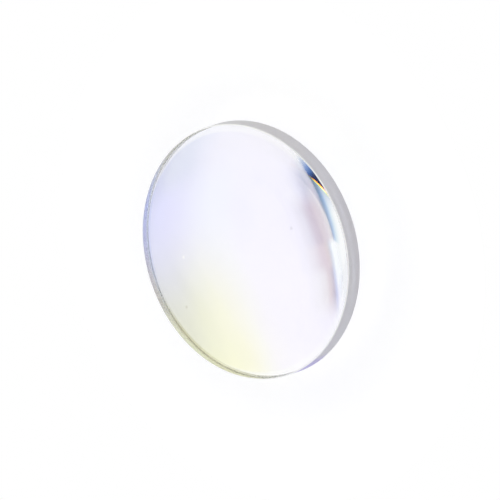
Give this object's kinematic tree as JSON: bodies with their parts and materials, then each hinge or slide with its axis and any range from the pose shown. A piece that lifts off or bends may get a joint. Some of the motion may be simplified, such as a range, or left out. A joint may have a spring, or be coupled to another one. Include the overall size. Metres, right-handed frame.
{
  "type": "plano-convex lens",
  "caption": "Round plano-convex glass lens with a flat face, a shallow spherical face and a ground, chamfered edge.",
  "frame": {"origin": "vertex of the curved face, the lowest point of the lens as it lies on that face", "axes": "+Z along the optical axis, out of the flat face; X and Y are any two radii, since the lens is a full revolve"},
  "size_m": [0.0254, 0.0254, 0.0042],
  "materials": {
    "glass": "polished faces with a coating, ground edge"
  },
  "bodies": {
    "root": {"lens": "glass"}
  },
  "joints": []
}
